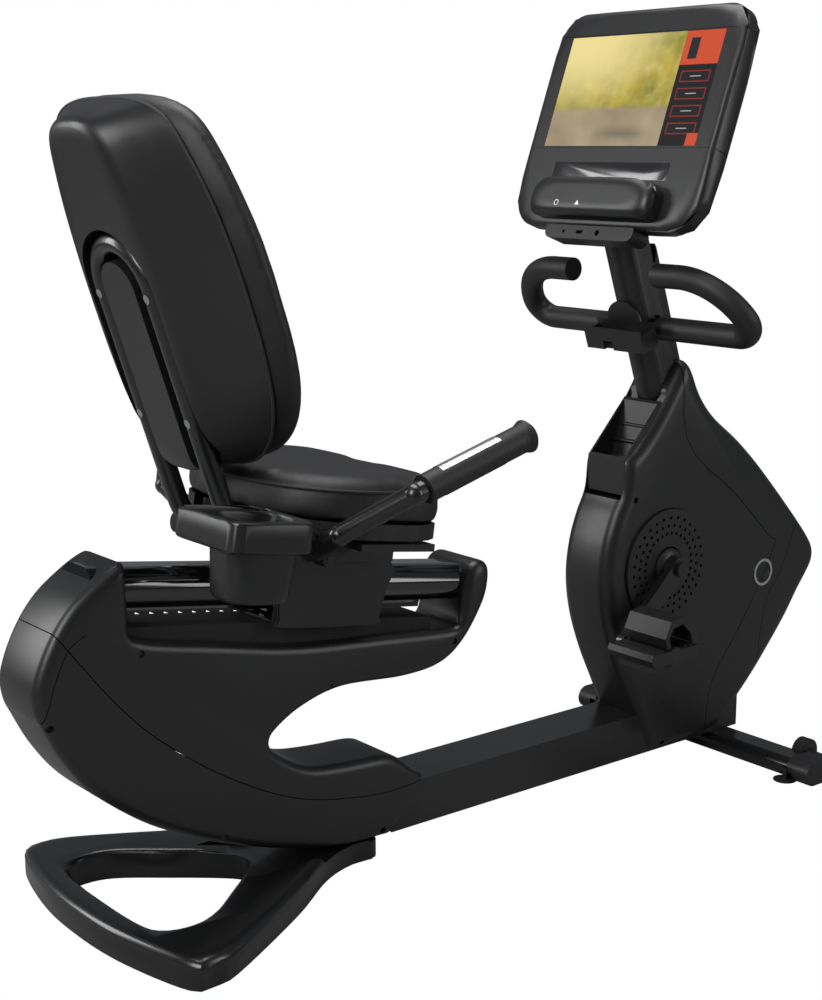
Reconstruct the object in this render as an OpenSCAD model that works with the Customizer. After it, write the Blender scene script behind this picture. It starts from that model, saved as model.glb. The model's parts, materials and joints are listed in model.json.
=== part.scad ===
// Recumbent exercise bike: sloping seat rail, step-through beam, crank housing and leaning console mast.
// +X points from the seat to the console, +Z up, floor at z = 0.

/* [Frame] */
// Width of the step-through beam
beam_w = 100; // [84:1:104]
// Height of the step-through beam
beam_h = 77; // [64:1:80]
// Width of the seat rail
rail_w = 92; // [76:1:94]
// Height of the seat rail
rail_h = 60; // [50:1:62]
// Half width of the rear stabiliser
rear_half = 254; // [210:1:300]
// Length of the front stabiliser tube
front_len = 520; // [430:1:620]

/* [Seat] */
// Width of the seat cushion
seat_w = 410; // [340:1:420]
// Depth of the seat cushion
seat_d = 335; // [280:1:345]
// Radius of the seat back tube
tube_r = 15; // [12:0.5:15.5]
// Gap between the two hand grips, centre to centre
grip_gap = 640; // [600:1:650]
// Diameter of a hand grip sleeve
grip_d = 42; // [35:1:50]

/* [Drive] */
// Length of a crank arm, axle to pedal
crank_len = 170; // [142:1:176]
// Diameter of the crank axle
axle_d = 24; // [20:1:30]
// Diameter of the drive pulley
pulley_d = 220; // [184:1:232]
// Diameter of the vented side disc
disc_d = 208; // [174:1:210]

/* [Console] */
// Width of the console
console_w = 434; // [362:1:520]
// Width of the display
display_w = 354; // [295:1:360]
// Height of the display
display_h = 199; // [166:1:204]
// Handlebar tube diameter
bar_d = 32; // [26:1:36]

/* [Hidden] */
$fn = 48;
x0 = 118;
slope = 8.3;
recline = 18.44;
lean = 19;
tilt = 20.1;
bar_lean = 37.4;
wall = 4;
step = 2.5;
fit = 0.3;
run = 0.05;
axle_r = axle_d / 2;
beam_z = 38;
beam_top = beam_z + beam_h;
rail_at = [-240, 0, 469];
back_at = [-488, 0, 837];
mast_at = [503, 0, 850];
face_at = [461, 0, 1217];
bar_at = [505, 0, 812];
crank_at = [522, 0, 386];
gen_at = [830, 0, 335];
crank_a = 221;
shroud_w = 62;
house_w = 58;
foot_x = 695;

// ---- frames of reference ----
module world() { translate([-x0, 0, 0]) children(); }
module on_rail() { world() translate(rail_at) rotate([0, slope, 0]) children(); }
module on_back() { world() translate(back_at) rotate([0, -recline, 0]) children(); }
module on_mast() { world() translate(mast_at) rotate([0, -lean, 0]) children(); }
module on_face() { world() translate(face_at) rotate([0, tilt, 0]) children(); }
module on_bars() { world() translate(bar_at) rotate([0, -bar_lean, 0]) children(); }
module on_crank(a) { world() translate(crank_at) rotate([0, -a, 0]) children(); }
module both() { children(); mirror([0, 1, 0]) children(); }

// ---- shape helpers ----
function hermite(a, b, c, d, t) =
  b + 0.5 * t * (c - a + t * (2 * a - 5 * b + 4 * c - d + t * (3 * (b - c) + d - a)));
function smooth(p, n) = let (m = len(p))
  [for (i = [0 : m - 1], k = [0 : n - 1])
    hermite(p[(i + m - 1) % m], p[i], p[(i + 1) % m], p[(i + 2) % m], k / n)];
function unit(v) = v / norm(v);
function inward(p, i) = let (m = len(p), a = unit(p[i] - p[(i + m - 1) % m]),
  b = unit(p[(i + 1) % m] - p[i]), s = unit(a + b)) [s[1], -s[0]] / max(0.6, s * a);
function inset(p, d) = [for (i = [0 : len(p) - 1]) p[i] + d * inward(p, i)];
function arc(c, r, a, b, n) = [for (i = [0 : n]) c + r * [cos(a + (b - a) * i / n), sin(a + (b - a) * i / n)]];

// One smooth moulded surface
module moulded() { resize([0, 0, 0]) children(); }
// Closed skin through rings of equal length
module skin(rings) {
  m = len(rings[0]);
  n = len(rings);
  polyhedron(points = [for (r = rings, p = r) p], convexity = 6,
    faces = concat([[for (i = [0 : m - 1]) i]], [[for (i = [m - 1 : -1 : 0]) (n - 1) * m + i]],
      [for (j = [0 : n - 2], i = [0 : m - 1]) let (a = j * m + i, b = j * m + (i + 1) % m)
        [a, a + m, b + m]], [for (j = [0 : n - 2], i = [0 : m - 1])
        let (a = j * m + i, b = j * m + (i + 1) % m) [a, b + m, b]]));
}
module xz(y0, y1, p) { translate([0, y1, 0]) rotate([90, 0, 0]) linear_extrude(y1 - y0) polygon(p); }
module rod(a, b, r) {
  d = b - a;
  translate(a) rotate([0, acos(d[2] / norm(d)), atan2(d[1], d[0])]) cylinder(h = norm(d), r = r);
}
module path(p, r) {
  for (i = [0 : len(p) - 2]) rod(p[i], p[i + 1], r);
  for (i = [1 : len(p) - 1]) translate(p[i]) sphere(r + 1);
}
module across(y0, y1, r) { translate([0, y1, 0]) rotate([90, 0, 0]) cylinder(h = y1 - y0, r = r); }
module stadium(w, h, x_a, x_b) {
  for (s = [-1, 1]) translate([x_a, s * (w - h) / 2, 0]) rotate([0, 90, 0]) cylinder(h = x_b - x_a, r = h / 2);
  translate([x_a, -(w - h) / 2, -h / 2]) cube([x_b - x_a, w - h, h]);
}
module box(a, b) { translate(a) cube(b - a); }
module bend(R, r, a, b) { rotate([0, 0, a]) rotate_extrude(angle = b - a) translate([R, 0]) circle(r); }

// ---- outlines ----
seam = [[-156, 118], [-287, 146], [-412, 209], [-526, 292], [-598, 365], [-666, 452]];
upper_line = smooth(concat([[-572, 558], [-569, 530], [-567, 480], [-556, 449], [-420, 417], [-283, 389],
  [-120, 373], [20, 361], [38, 372], [46, 425], [60, 455], [80, 463], [97, 455], [100, 432], [89, 393],
  [49, 337], [0, 305], [-75, 297], [-199, 305], [-275, 289], [-325, 262], [-338, 243], [-312, 217],
  [-262, 190], [-193, 180], [-118, 175], [-90, 164], [-58, 138], [-38, 122]], seam,
  [[-682, 480], [-655, 512], [-620, 538], [-590, 555]]), 2);
lower_line = smooth(concat([[-40, 118], [-70, 80], [-102, 43], [-126, 40], [-212, 45], [-320, 70],
  [-432, 110], [-500, 142], [-563, 180], [-634, 238], [-676, 292], [-704, 345], [-686, 410]],
  [for (i = [5 : -1 : 0]) seam[i] - [0.5, 0.8]]), 2);
cap_line = smooth([[-683, 476], [-669, 455], [-687.5, 412], [-706, 350], [-714, 368], [-717, 400],
  [-704, 440]], 2);
house_line = smooth([[421, 586], [440, 600], [480, 640], [520, 694], [552, 742], [566, 752], [585, 735],
  [606, 693], [647, 646], [719, 593], [791, 530], [895, 426], [942, 373], [953, 345], [946, 320],
  [909, 274], [870, 222], [790, 135], [724, 76], [690, 51], [650, 40], [500, 38], [480, 70], [461, 118],
  [439, 163], [403, 238], [379, 308], [370, 376], [378, 439], [396, 490], [414, 527]], 2);
back_line = smooth([[0, -185], [70, -183], [136, -166], [190, -128], [226, -72], [242, -4], [245, 62], [243, 120],
  [236, 170], [222, 225], [200, 275], [172, 318], [130, 340], [70, 350], [0, 352], [-70, 350], [-130, 340],
  [-172, 318], [-200, 275], [-222, 225], [-236, 170], [-243, 120], [-245, 62], [-242, -4], [-226, -72],
  [-190, -128], [-136, -166], [-70, -183]], 2);
foot_line = smooth([[-600, -252], [-632, -120], [-640, 0], [-632, 120], [-600, 252], [-565, 262], [-522, 252],
  [-352, 152], [-248, 78], [-180, 52], [-130, 48], [-130, -48], [-180, -52], [-248, -78], [-352, -152],
  [-522, -252], [-565, -262]], 2);
foot_hole = smooth([[-594, -110], [-598, 0], [-594, 110], [-575, 150], [-510, 152], [-430, 92], [-360, 30],
  [-345, 0], [-360, -30], [-430, -92], [-510, -152], [-575, -150]], 2);
// Moulded side body between y = -w and y = m, with a stepped outer edge
module side_block(p, w, m) {
  xz(-w, m, inset(p, step));
  xz(-w + step, m, p);
}
module half_shell(p, w) difference() {
  side_block(p, w, 0);
  xz(-w + wall, 1, inset(p, wall));
}
module full_block(p, w) {
  xz(-w, w, inset(p, step));
  xz(-w + step, w - step, p);
}

// ---- frame body ----
module main_beam() color("#26282a") world() {
  difference() {
    box([-100, -beam_w / 2, beam_z], [740, beam_w / 2, beam_top]);
    box([-101, -beam_w / 2 + wall, beam_z + wall], [736, beam_w / 2 - wall, beam_top - wall]);
  }
  difference() {
    union() {
      translate(crank_at) across(-30, 30, 30);
      box([crank_at[0] - 25, -22, beam_top - 0.5], [crank_at[0] + 25, 22, crank_at[2]]);
    }
    translate(crank_at) across(-31, 31, 24);
  }
}
sweep_line = [[-101, 50], [-101, 108], [-250, 118], [-395, 180], [-520, 285], [-600, 400], [-596, 490.2],
  [-620, 493.7], [-655, 400], [-600, 300], [-520, 215], [-420, 130], [-300, 84], [-200, 62]];
strut_line = [[-600, 340], [-560, 300], [-430, 255], [-350, 272], [-290, 303], [-200, 318], [-75, 310],
  [0, 318], [34, 341], [54, 366], [66, 390], [66, 393.8], [51, 396], [47, 374], [28, 350], [-14, 345],
  [-200, 360], [-420, 392], [-560, 425], [-610, 430]];
// Both frame profiles, grown by d for the room they need
module frame_profiles(d) {
  xz(-34 - d, 34 + d, inset(sweep_line, d));
  xz(-30 - d, 30 + d, inset(strut_line, d));
}
module rear_frame() color("#2c2e31") world() difference() {
  frame_profiles(0);
  xz(-28, 28, [[-150, 66], [-150, 100], [-250, 108], [-400, 170], [-520, 270], [-590, 360], [-600, 330],
    [-520, 228], [-420, 142], [-300, 96]]);
}
module mast_tube() color("#2a2c2e") difference() {
  union() {
    on_mast() difference() {
      box([-22, -22, -735], [26, 22, 124]);
      box([-18, -18, -731], [22, 18, 120]);
    }
    world() box([720, -30, 115.2], [757, 30, 150]);
    on_face() box([75.3, -28, -240], [104, 28, -40]);
    for (s = [-1, 1]) world() xz(s * 27 - 3, s * 27 + 3, [[668, 290], [700, 382], [846, 354], [846, 316]]);
    world() for (s = [-1, 1]) translate([686, 0, 330]) across(s * 23 - 6, s * 23 + 6, 12);
  }
  world() translate(gen_at) across(-40, 40, 8 + run);
  world() translate(bar_at) across(-40, 40, bar_d / 2 + fit);
  world() box([600, -60, 30], [800, 60, 115.1]);
}
module crank_bearings() color("#9a9da0") world() translate(crank_at) both() difference() {
  across(16, 29.5, 24 - run);
  across(15, 31, axle_r + run);
}
module front_stabiliser() color("#232527") world() translate([foot_x, 0, 0]) difference() {
  translate([0, 0, 19.7]) rotate([0, 0, 90]) stadium(70, 36, -front_len / 2, front_len / 2);
  for (s = [-1, 1]) translate([-35, s * 235, 0]) cylinder(h = 26, r = 5 + run);
  both() translate([46, 0, 30]) across(front_len / 2 - 60, front_len / 2 - 34, 28);
}
cap_in = front_len / 2 + fit - 18;
module stabiliser_end_caps() color("#1d1e1f") world() translate([foot_x, 0, 0]) both() {
  difference() {
    translate([0, 0, 22]) rotate([0, 0, 90]) stadium(86, 43, cap_in, front_len / 2 + 29);
    translate([0, 0, 19.7]) rotate([0, 0, 90]) stadium(71, 37, 0, front_len / 2 + fit);
    translate([45, 0, 30]) across(front_len / 2 - 60, front_len / 2 - 1, 29);
    translate([-35, 235, -1]) cylinder(h = 30, r = 23);
  }
  box([35.3, front_len / 2 - 36, 24], [54, front_len / 2 - 24, 36]);
  translate([46, 0, 30]) across(front_len / 2 - 60, front_len / 2 + 2, 6);
}
module levelling_feet() color("#18191a") world() {
  both() translate([foot_x - 35, 235, 0]) {
    cylinder(h = 1.6, r = 21);
    translate([0, 0, 1.5]) cylinder(h = 20, r = 5);
  }
  both() translate([-575, 205, 0]) cylinder(h = 3.7, r = 20);
  translate([-160, 0, 0]) cylinder(h = 3.7, r = 20);
}
module rear_stabiliser() color("#27292b") moulded() world() difference() {
  skin([for (k = [[4, 0], [40, 0], [46, 3], [50, 9], [51, 16]])
    [for (p = inset(foot_line, k[1])) [p[0], p[1] * rear_half / 262, k[0]]]]);
  translate([0, 0, -1]) linear_extrude(60) polygon([for (p = foot_hole) [p[0], p[1] * rear_half / 262]]);
  xz(-80, 80, [[-400, 53], [-320, 37.7], [-100, 37.7], [-100, 60], [-400, 60]]);
}
module seat_rail() color("#101112") on_rail() difference() {
  stadium(rail_w, rail_h, -384, 318);
  stadium(rail_w - 8, rail_h - 8, -380, 314);
}
module adjust_rack() color("#3a3c3e") on_rail() difference() {
  union() {
    box([-352, -9, -43], [236, 9, -36]);
    for (x = [-340, 225]) box([x, -9, -36.2], [x + 12, 9, -rail_h / 2]);
  }
  for (k = [0 : 17]) box([-290 + 24 * k, -10, -44], [-278 + 24 * k, 10, -39]);
}
screw_at = [[-554, 427], [21, 339], [-228, 311], [-423, 118], [-126, 52], [-697, 347]];
module screw_holes(s) {
  for (p = screw_at) world() translate([p[0], 0, p[1]]) across(s > 0 ? 20 : -90, s > 0 ? 90 : -20, 5.2);
}
module upper_right() { world() half_shell(upper_line, shroud_w); }
module rail_room() {
  on_rail() stadium(rail_w + 3, rail_h + 3, -386, 320);
  on_rail() box([-353, -9.4, -44.4], [237, 9.4, -20]);
  world() frame_profiles(fit);
  world() xz(-80, 80, inset(cap_line, -fit));
}
module shroud_upper_right() color("#2b2c2e") difference() { upper_right(); screw_holes(-1); rail_room(); }
module shroud_upper_left() color("#2b2c2e") difference() {
  translate([0, fit, 0]) mirror([0, 1, 0]) upper_right();
  screw_holes(1);
  rail_room();
}
module shroud_lower() color("#282a2b") difference() {
  world() full_block(lower_line, shroud_w);
  world() xz(wall - shroud_w, shroud_w - wall, inset(lower_line, wall));
  screw_holes(-1);
  screw_holes(1);
  world() box([-104, -beam_w / 2 - fit, 20], [0, beam_w / 2 + fit, beam_top + fit]);
  world() box([-400, -36, 30], [-90, 36, 113]);
  world() xz(-80, 80, inset(upper_line, -fit));
  rail_room();
}
module shroud_rear_cap() color("#2b2c2e") world() difference() {
  full_block(cap_line, shroud_w);
  xz(-80, 80, [[-800, 300], [-800, 356], [-700, 356], [-700, 300]]);
}
module shroud_screws() color("#17181a") world() both() for (k = [0 : 3])
  translate([screw_at[k][0], 0, screw_at[k][1]]) across(40, shroud_w - 4, 4.95);
module mast_room() { translate(mast_at) rotate([0, -lean, 0]) box([-49, -31.4, -210], [46.4, 31.4, 200]); }
module foot_room() {
  xz(-beam_w / 2 - fit, beam_w / 2 + fit, [[420, beam_z - 20], [420, beam_top + fit], [745, beam_top + fit], [745, 18]]);
  translate([foot_x, 0, 19.7]) rotate([0, 0, 90]) stadium(71, 37, -90, 90);
}
module top_taper() {
  translate([0, -house_w, 590]) rotate([-3.9, 0, 0]) box([380, -30, 0], [960, 0, 240]);
}
module house_hollow(y) {
  xz(wall - house_w, y, [for (p = inset(house_line, wall)) if (p[1] < 640) p]);
  xz(17 - house_w, y, [for (p = inset(house_line, wall + 0.5)) if (p[1] > 560) p]);
}
module house_half() world() difference() {
  side_block(house_line, house_w, 0);
  house_hollow(1);
  top_taper();
  mast_room();
  foot_room();
  xz(-200, 1, front_band);
  xz(-44.4, 1, [[380, 519.6], [452.5, 515.6], [482, 556], [525, 690], [525, 780], [380, 780]]);
  translate(crank_at) across(-80, 1, 34);
}
front_band = [[566, 612], [700, 497], [800, 405], [820, 386], [821, 366], [740, 250], [655, 138],
  [640, 20], [980, 20], [980, 800], [567, 800]];
module housing_right() color("#292a2c") difference() {
  house_half();
  world() translate(crank_at) across(-house_w - 10, -house_w + 5, disc_d / 2 + fit);
}
module housing_left() color("#292a2c") translate([0, fit, 0]) mirror([0, 1, 0]) housing_right();
module housing_front_cover() color("#2d2e30") world() intersection() {
  difference() {
    full_block(house_line, house_w);
    both() house_hollow(0.5);
    both() top_taper();
    mast_room();
    foot_room();
  }
  xz(-200, 200, inset(front_band, -fit));
}
module bottle_pocket() color("#1f2022") world() difference() {
  union() {
    difference() {
      xz(-44, 44, [[421, 525], [452, 520], [481, 560], [518, 674], [510, 683], [421, 587]]);
      xz(-40, 40, [[425, 533], [452, 533], [470, 562], [509, 690], [509, 760], [380, 760], [380, 600], [425, 600]]);
    }
    for (k = [0 : 2]) translate([473 + 11 * k, 0, 580 + 28 * k]) across(-40.1, 40.1, 4);
  }
  translate([440, 0, 556]) rotate([0, 72, 0]) cylinder(h = 60, r = 5);
  mast_room();
}
module vent_discs() color("#1b1c1e") world() translate(crank_at) both() difference() {
  across(house_w - 4, house_w + 5, disc_d / 2);
  across(house_w - 5, house_w + 6, 36);
  for (k = [0 : 2], a = [0 : 12 : 348]) rotate([0, a + 4 * k, 0])
    translate([60 + 14 * k, 0, 0]) across(house_w - 5, house_w + 6, 3.2);
}
module side_badges() color("#b9bbbd") world() both() translate([790, 0, 332]) difference() {
  across(house_w + fit, house_w + 2, 26);
  across(house_w, house_w + 3, 21);
}
module mast_front_cover() color("#2a2b2d") difference() {
  on_mast() difference() {
    translate([0, 0, -190]) linear_extrude(316) difference() {
      polygon(concat(arc([-16, 0], 31, 90, 270, 18), [[-4, -31], [-4, 31]]));
      polygon(concat(arc([-16, 0], 28, 90, 270, 18), [[-3, -28], [-3, 28]]));
    }
  }
  world() translate(bar_at) across(-40, 40, bar_d / 2 + 6);
}
module mast_rear_cover() color("#232426") difference() {
  on_mast() translate([0, 0, -190]) linear_extrude(316) difference() {
    polygon([[-3.7, 31], [14, 31], [42, 20], [46, 14], [46, -14], [42, -20], [14, -31], [-3.7, -31]]);
    polygon([[-5, 28], [13, 28], [40, 18], [43, 13], [43, -13], [40, -18], [13, -28], [-5, -28]]);
  }
  world() translate(bar_at) across(-40, 40, bar_d / 2 + 6);
  on_face() box([74, -40, -260], [140, 40, -30]);
}
bend_a = 105;
bend_in = 34;
bar_rise = 123.4;
bend_out = (bar_rise - bend_in * (1 - cos(bend_a))) / (1 + cos(bend_a));
bar_out = 220;
bend_c = [bar_out + (bend_in - bend_out) * sin(bend_a), bar_rise - bend_out];
module bar_loop(r, tip, root) {
  rotate([90, 0, 90]) {
    translate([bar_out, bend_in, 0]) bend(bend_in, r, -90, bend_a - 90);
    translate([bend_c[0], bend_c[1], 0]) bend(bend_out, r, bend_a - 90, 90);
  }
  across(root, bar_out, r);
  translate([0, 0, bar_rise]) across(tip, bend_c[0], r);
}
module handlebar_tube() color("#303234") on_bars() both() bar_loop(bar_d / 2, 104, 0);
module handlebar_sleeves() color("#1a1b1c") on_bars() both() difference() {
  bar_loop(20.5, 100, 44);
  bar_loop(bar_d / 2 + 0.01, 103.9, 0);
}
module accessory_holder() color("#1e1f21") on_mast() translate([-2, 0, 41]) difference() {
  union() {
    box([-84, -68, -92], [-45.3, 68, -88]);
    box([-84, -68, -92], [-80.5, 68, -52]);
    for (s = [-1, 1]) box([-84, s * 66.5 - 1.5, -92], [-45.3, s * 66.5 + 1.5, -60]);
    box([-48.8, -68, -92], [-45.3, 68, -50]);
    translate([-45.3, 0, -54]) rotate([0, -90, 0]) cylinder(h = 3.5, r = 40);
  }
  box([-86, 4, -96], [-78, 26, -76]);
}
module plate(p, x_a, x_b) { translate([x_a, 0, 0]) rotate([90, 0, 90]) linear_extrude(x_b - x_a) polygon(p); }
function round_box(w, a, b, r, q) = concat(arc([w / 2 - r, b - r], r, 0, 90, 6), arc([-w / 2 + r, b - r], r, 90, 180, 6),
  arc([-w / 2 + q, a + q], q, 180, 270, 6), arc([w / 2 - q, a + q], q, 270, 360, 6));
function face_ring(d, x) = [for (q = inset(round_box(console_w, -244, 147, 52, 62), d)) [x, q[0], q[1]]];
module console_front_shell() color("#2a2c2e") moulded() on_face() difference() {
  union() {
    skin([face_ring(-9, 0), face_ring(-3, 3), face_ring(0, 9), face_ring(0, 30), face_ring(-4, 40)]);
  }
  plate(round_box(console_w - 16, -236, 139, 46, 56), 5, 41);
  box([-1, -display_w / 2 - fit, -display_h / 2 - fit], [8, display_w / 2 + fit, display_h / 2 + fit]);
}
module console_rear_shell() color("#222325") moulded() on_face() difference() {
  skin([face_ring(-4.5, 40.3), face_ring(-12, 52), face_ring(-28, 66), face_ring(-44, 75)]);
  skin([face_ring(-9, 40), face_ring(-16, 50), face_ring(-32, 62), face_ring(-46, 70)]);
}
module display_glass() color("#141a20") on_face()
  box([0.6, -display_w / 2, -display_h / 2], [4.8, display_w / 2, display_h / 2]);
function tray_line(d) = round_box(284 - 2 * d, -232 + d, -162 - d, 34 - d / 2, 18 - d / 2);
module console_tray() color("#2c2d2f") on_face() difference() {
  union() {
    plate(tray_line(0), -34, -fit);
    plate(tray_line(5), -38, -fit);
  }
  plate(tray_line(8), -34.5, 1);
}
module jack_module() color("#1c1d1f") on_face() difference() {
  plate(round_box(208, -268, -244.3, 5, 14), -10, 30);
  for (k = [[58, 3], [-22, 5]]) translate([-11, k[0], -256]) rotate([0, 90, 0]) cylinder(h = 14, r = k[1]);
  box([-11, 12, -259], [-2, 28, -253]);
}
module drive_belt() color("#151515") world() {
  d = gen_at - crank_at;
  a = atan2(d[2], d[0]);
  wrap = acos((pulley_d / 2 - 21) / norm(d));
  translate(crank_at) rotate([0, -a, 0]) difference() {
    xz(38, 50, concat(arc([0, 0], pulley_d / 2 + 3.2, wrap, 360 - wrap, 48),
      arc([norm(d), 0], 21.2 + 3, 360 - wrap, 360 + wrap, 18)));
    xz(37, 51, concat(arc([0, 0], pulley_d / 2 + 0.2, wrap, 360 - wrap, 48),
      arc([norm(d), 0], 21.2, 360 - wrap, 360 + wrap, 18)));
  }
}

// ---- seat carriage body ----
module carriage_frame() color("#303235") on_rail() difference() {
  union() {
    box([-83, -58, -50.5], [109, 58, 50]);
    box([-153, -100, 50 - 0.1], [97, 100, 64.7]);
    box([-73, -46, 64.6], [87, 46, 97.5]);
    translate([-43, 0, 57.4]) across(-128, -99, 6);
  }
  box([-84, -54, -47], [110, 54, 38]);
}
cover_line = smooth([[-87, 49], [117, 49], [117, 0], [109, -44], [97, -56], [-73, -56], [-83, -44], [-87, 0]], 2);
module cover_side() on_rail() difference() {
  union() {
    xz(-68, -58.3, cover_line);
    xz(-70, -58.3, inset(cover_line, 3));
  }
  box([-200, -100, 49.6], [200, 0, 60]);
}
module carriage_cover_right() color("#2c2d2f") cover_side();
module carriage_cover_left() color("#2c2d2f") mirror([0, 1, 0]) cover_side();
module glide_pads() color("#cfd0cb") on_rail() for (x = [-73, 57]) {
  difference() {
    box([x, -15, rail_h / 2 + run], [x + 40, 15, 37.95]);
  }
  for (s = [-1, 1]) box([x, s * 49.95 - 3.95, -6], [x + 40, s * 49.95 + 3.95, 6]);
}
function seat_line(w, a, b) = smooth([[a, 0], [a + 9, w * 0.2], [a + 32, w * 0.34], [a + 76, w * 0.44],
  [a + 130, w * 0.49], [20, w / 2], [b - 70, w * 0.5], [b - 22, w * 0.44], [b - 3, w * 0.25], [b - 6, 0],
  [b - 3, -w * 0.25], [b - 22, -w * 0.44], [b - 70, -w * 0.5], [20, -w / 2], [a + 130, -w * 0.49],
  [a + 76, -w * 0.44], [a + 32, -w * 0.34], [a + 9, -w * 0.2]], 2);
module seat_pan() color("#222325") on_rail() difference() {
  translate([0, 0, 98]) linear_extrude(23.5) polygon(seat_line(seat_w - 14, -161, seat_d - 204));
  translate([0, 0, 103]) linear_extrude(20) polygon(seat_line(seat_w - 22, -157, seat_d - 208));
  for (s = [-1, 1]) box([-240, s * 65 - 18, 90], [-130, s * 65 + 18, 130]);
  box([-206, -188.3, 103.7], [-109.7, -149.7, 116.3]);
  box([-140.3, -186.3, 83], [-99.7, -151.7, 110.3]);
  both() rod([-100, 168, 80], [-112, 232, 112], 15.4);
}
function seat_ring(f, d) = [for (q = inset(seat_line(seat_w, -165, seat_d - 200), d))
  [q[0], q[1], 121.8 + f * (58 + 11 * (q[0] + 165) / 300)]];
module seat_cushion() color("#333333") on_rail() skin([seat_ring(0, 3), seat_ring(0.2, 0), seat_ring(0.6, 1),
  seat_ring(0.86, 8), seat_ring(1, 22)]);
leg_bend = 90 - slope - recline;
module back_tube() color("#2a2b2d") on_back() difference() {
  union() {
    translate([0, 0, 101]) rotate([90, 0, 90]) bend(65, tube_r, 0, 180);
    both() translate([0, 65, 0]) {
      translate([0, 0, -241.2]) cylinder(h = 342.2, r = tube_r);
      translate([60, 0, -241.2]) {
        rotate([90, 0, 0]) bend(60, tube_r, 180, 180 + leg_bend);
        rotate([0, 180 - leg_bend, 0]) translate([60, 0, 0]) mirror([0, 0, 1]) cylinder(h = 55, r = tube_r);
      }
    }
  }
  for (s = [-1, 1], z = [92.5, -92.5]) translate([-30, s * 65, z]) rotate([0, 90, 0]) cylinder(h = 21, r = 7.2);
}
// Section of the seat back at depth x, its width and height scaled
function back_ring(x, a, b) = [for (p = back_line) [x, p[0] * a, 85 + (p[1] - 85) * b]];
module back_shell() color("#303133") on_back() difference() {
  skin([back_ring(-16, 0.32, 0.93), back_ring(-9, 0.42, 0.955), back_ring(4, 0.48, 0.97),
    back_ring(28, 0.67, 0.985), back_ring(50, 0.87, 1)]);
  skin([back_ring(23, 0.6, 0.95), back_ring(51, 0.85, 0.98)]);
  intersection() {
    union() {
      translate([-40, 0, 101]) rotate([0, 90, 0]) cylinder(h = 40 + tube_r + fit, r = 90);
      box([-40, -90, -200], [tube_r + fit, 90, 101]);
    }
    difference() {
      box([-50, -120, -200], [30, 120, 220]);
      translate([-60, 0, 101]) rotate([0, 90, 0]) cylinder(h = 100, r = 42);
      box([-60, -42, -200], [40, 42, 101]);
    }
  }
}
module back_pad() color("#333333") on_back() skin([back_ring(50.3, 0.865, 0.995), back_ring(62, 0.935, 1),
  back_ring(74, 1, 1), back_ring(86, 0.985, 0.99), back_ring(96, 0.93, 0.96), back_ring(103, 0.82, 0.9)]);
module back_bolts() color("#7d8083") on_back() for (s = [-1, 1], z = [92.5, -92.5])
  translate([-14, s * 65, z]) rotate([0, 90, 0]) cylinder(h = 4.9, r = 6.9);
grip_a = [-43, 0, 191.8];
grip_b = [120, 0, 265.1];
module grip_frame() {
  d = grip_b - grip_a;
  on_rail() both() translate([grip_a[0], grip_gap / 2, grip_a[2]])
    rotate([0, acos(d[2] / norm(d)), 0]) children();
}
grip_l = norm(grip_b - grip_a);
module handle_tubes() color("#26282a") {
  back = grip_a - 18 * unit(grip_b - grip_a);
  on_rail() both() path([[-100, 83, 80], [-100, 168, 80], [-112, 232, 112], [back[0], grip_gap / 2, back[2]]], 15);
  grip_frame() translate([0, 0, -18]) cylinder(h = grip_l + 18, r = 15);
  on_rail() box([-204.6, -188, 104], [-110, -150, 116]);
  on_rail() box([-140, -186, 84], [-100, -152, 110]);
}
module grip_sleeves() color("#232425") grip_frame() difference() {
  cylinder(h = grip_l - 0.3, r = grip_d / 2);
  translate([0, 0, -1]) cylinder(h = grip_l + 2, r = 15 + 0.02);
  for (s = [-1, 1]) translate([s * grip_d / 2, 0, 30 + 55]) box([-3, -12.2, -55.2], [3, 12.2, 55.2]);
}
module pulse_plates() color("#c9cbcd") grip_frame() intersection() {
  difference() {
    cylinder(h = 150, r = grip_d / 2 + 0.6);
    cylinder(h = 150, r = grip_d / 2 - 2.5);
  }
  for (s = [-1, 1]) translate([s * grip_d / 2, 0, 85]) box([-2.6, -12, -55], [3, 12, 55]);
}
module grip_end_caps() color("#1a1b1c") grip_frame() translate([0, 0, grip_l]) {
  cylinder(h = 5, r = grip_d / 2);
  translate([0, 0, 5]) cylinder(h = 11, r1 = grip_d / 2, r2 = grip_d / 2 + 4);
  translate([0, 0, 16]) cylinder(h = 6, r1 = grip_d / 2 + 4, r2 = grip_d / 2 - 2);
}
function bin_line(d) = [[-338 + d, -182], [-338 + d, -300 + d + 8], [-326 + d, -312 + d], [-222 - d, -312 + d],
  [-205 - d, -296 + d], [-205 - d, -162 - d], [-338 + d, -162 - d]];
module bottle_bin() color("#28292b") on_rail() difference() {
  union() {
    translate([0, 0, 100]) linear_extrude(42) polygon(bin_line(0));
    translate([0, 0, 29]) linear_extrude(74) polygon([[-324, -216], [-324, -292], [-312, -303], [-232, -303],
      [-218, -290], [-218, -216]]);
  }
  translate([0, 0, 33]) linear_extrude(120) polygon([[-320, -220], [-320, -290], [-310, -299], [-234, -299],
    [-222, -288], [-222, -220]]);
  translate([0, 0, 104]) linear_extrude(60) polygon([[-334, -166], [-334, -211], [-209, -211], [-209, -166]]);
}

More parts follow.
